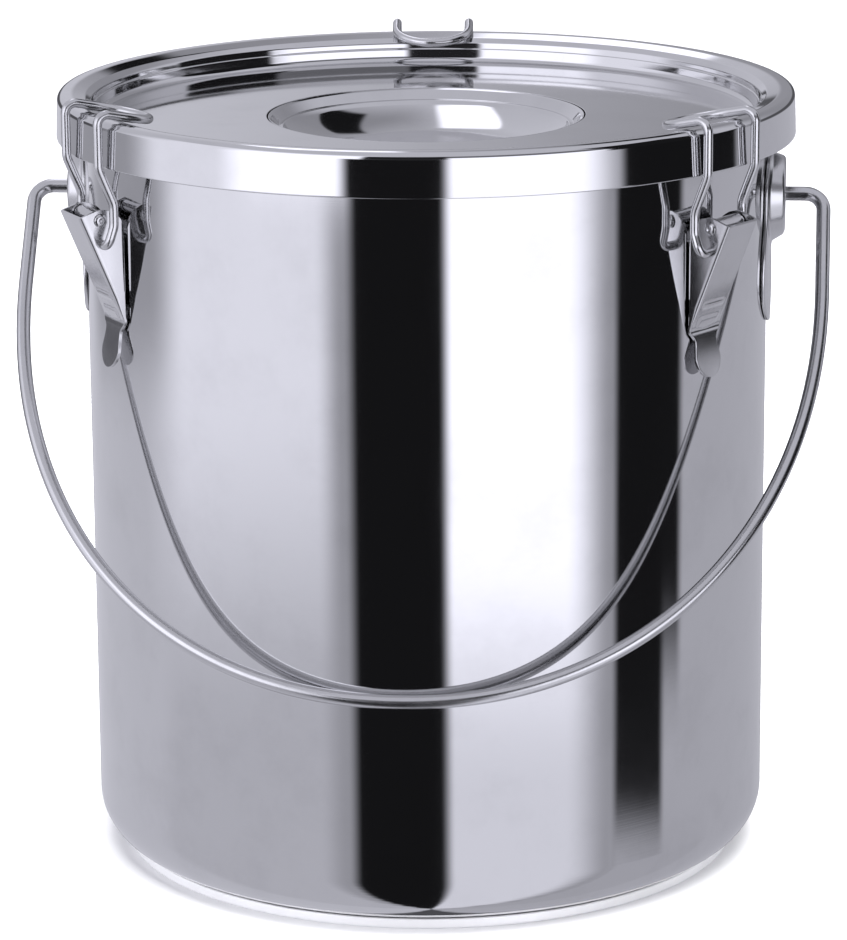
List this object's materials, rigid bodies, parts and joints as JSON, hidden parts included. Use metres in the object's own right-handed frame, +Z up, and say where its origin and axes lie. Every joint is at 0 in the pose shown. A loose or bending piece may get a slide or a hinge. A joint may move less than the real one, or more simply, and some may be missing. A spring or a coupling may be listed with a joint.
{
  "type": "clip-lock pail",
  "caption": "Lidded steel pail with a recessed lid held by over-centre wire clips and a swinging wire bail.",
  "frame": {"origin": "on the floor under the middle of the whole object's box at rest; the pail's own vertical axis stands 3.7 mm from it towards -Y", "axes": "+Z up along the pail; +X from the left ear to the right ear along the bail's pivot line; -Y towards the front wall that the bail rests against"},
  "size_m": [0.2862, 0.2684, 0.2796],
  "materials": {
    "polished_steel": "mirror-polished stainless steel sheet",
    "stamped_steel": "bright tumbled stainless steel stamping",
    "steel_wire": "bright drawn stainless steel wire",
    "silicone": "matt off-white silicone"
  },
  "bodies": {
    "pail": {"pail_shell": "polished_steel", "foot_ring": "polished_steel", "lid": "polished_steel", "lid_cup": "polished_steel", "lid_gasket": "silicone", "ear_right": "polished_steel", "ear_left": "polished_steel", "clip_base_right": "stamped_steel", "clip_pin_right": "steel_wire", "clip_base_left": "stamped_steel", "clip_pin_left": "steel_wire", "clip_base_rear": "stamped_steel", "clip_pin_rear": "steel_wire"},
    "bail": {"bail_handle": "steel_wire"},
    "lever_right": {"clip_lever_right": "stamped_steel"},
    "loop_right": {"clip_loop_right": "steel_wire"},
    "lever_left": {"clip_lever_left": "stamped_steel"},
    "loop_left": {"clip_loop_left": "steel_wire"},
    "lever_rear": {"clip_lever_rear": "stamped_steel"},
    "loop_rear": {"clip_loop_rear": "steel_wire"}
  },
  "joints": [
    {"name": "bail_swing", "type": "hinge", "parent": "pail", "child": "bail", "pos_m": [0, -0.00373, 0.2378], "axis": [-1, 0, 0], "range_deg": [0, 281]},
    {"name": "lever_right_swing", "type": "hinge", "parent": "pail", "child": "lever_right", "pos_m": [0.10777, -0.07643, 0.2408], "axis": [-0.5592, -0.829, 0], "range_deg": [0, 150]},
    {"name": "loop_right_swing", "type": "hinge", "parent": "lever_right", "child": "loop_right", "pos_m": [0.10736, -0.07615, 0.2325], "axis": [-0.5592, -0.829, 0], "range_deg": [-150, 0]},
    {"name": "lever_left_swing", "type": "hinge", "parent": "pail", "child": "lever_left", "pos_m": [-0.10903, -0.07454, 0.2408], "axis": [-0.5446, 0.8387, 0], "range_deg": [0, 150]},
    {"name": "loop_left_swing", "type": "hinge", "parent": "lever_left", "child": "loop_left", "pos_m": [-0.10861, -0.07426, 0.2325], "axis": [-0.5446, 0.8387, 0], "range_deg": [-150, 0]},
    {"name": "lever_rear_swing", "type": "hinge", "parent": "pail", "child": "lever_rear", "pos_m": [-0.00907, 0.12595, 0.2408], "axis": [0.9976, 0.0698, 0], "range_deg": [0, 150]},
    {"name": "loop_rear_swing", "type": "hinge", "parent": "lever_rear", "child": "loop_rear", "pos_m": [-0.00903, 0.12545, 0.2325], "axis": [0.9976, 0.0698, 0], "range_deg": [-150, 0]}
  ],
  "couplings": [
    {"joint": "loop_right_swing", "follows": "lever_right_swing", "ratio": -1},
    {"joint": "loop_left_swing", "follows": "lever_left_swing", "ratio": -1},
    {"joint": "loop_rear_swing", "follows": "lever_rear_swing", "ratio": -1}
  ]
}
